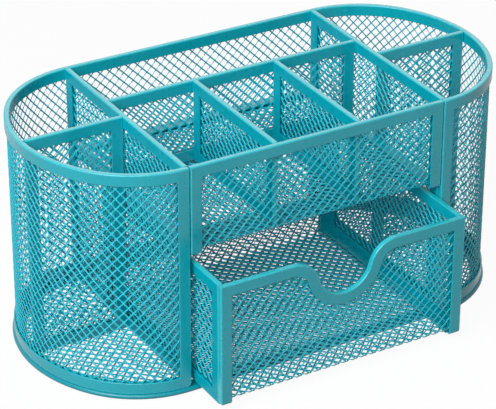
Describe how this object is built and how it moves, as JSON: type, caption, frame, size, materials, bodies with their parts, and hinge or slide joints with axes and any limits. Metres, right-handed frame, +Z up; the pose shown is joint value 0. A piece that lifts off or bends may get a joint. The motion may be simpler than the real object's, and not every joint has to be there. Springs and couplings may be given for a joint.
{
  "type": "pen stand with drawer",
  "caption": "Oval steel-mesh desk organiser with split half-round pen ends, a long back slot, small front trays and a full-depth drawer with a scooped finger notch under them.",
  "frame": {"origin": "on the table, under the middle of the part's bounding box with the drawer open as pictured", "axes": "+X to the right along the length, +Y towards the back, +Z up; the drawer opens towards -Y"},
  "size_m": [0.2202, 0.131, 0.104],
  "materials": {
    "powder_coat": "semi-gloss turquoise powder coat"
  },
  "bodies": {
    "body": {"base_ring": "powder_coat", "base_mesh": "powder_coat", "bottom_band": "powder_coat", "left_end_front_mesh": "powder_coat", "left_end_back_mesh": "powder_coat", "back_wall_mesh": "powder_coat", "right_end_back_mesh": "powder_coat", "right_end_front_mesh": "powder_coat", "top_rim_left": "powder_coat", "top_rim_back": "powder_coat", "top_rim_right": "powder_coat", "left_front_post": "powder_coat", "right_front_post": "powder_coat", "left_cross_frame": "powder_coat", "left_cross_mesh": "powder_coat", "right_cross_frame": "powder_coat", "right_cross_mesh": "powder_coat", "left_pocket_frame": "powder_coat", "left_pocket_mesh": "powder_coat", "right_pocket_frame": "powder_coat", "right_pocket_mesh": "powder_coat", "slot_divider_frame": "powder_coat", "slot_divider_mesh": "powder_coat", "tray_divider_1_frame": "powder_coat", "tray_divider_1_mesh": "powder_coat", "tray_divider_2_frame": "powder_coat", "tray_divider_2_mesh": "powder_coat", "tray_front_frame": "powder_coat", "tray_front_mesh": "powder_coat", "shelf_frame": "powder_coat", "shelf_mesh": "powder_coat"},
    "drawer": {"drawer_front_frame": "powder_coat", "drawer_front_mesh": "powder_coat", "drawer_floor_left_strip": "powder_coat", "drawer_floor_right_strip": "powder_coat", "drawer_floor_mesh": "powder_coat", "drawer_left_frame": "powder_coat", "drawer_left_mesh": "powder_coat", "drawer_right_frame": "powder_coat", "drawer_right_mesh": "powder_coat", "drawer_back_frame": "powder_coat", "drawer_back_mesh": "powder_coat"}
  },
  "joints": [
    {"name": "drawer_slide", "type": "slide", "parent": "body", "child": "drawer", "axis": [0, -1, 0], "range_m": [-0.0213, 0.0587]}
  ]
}
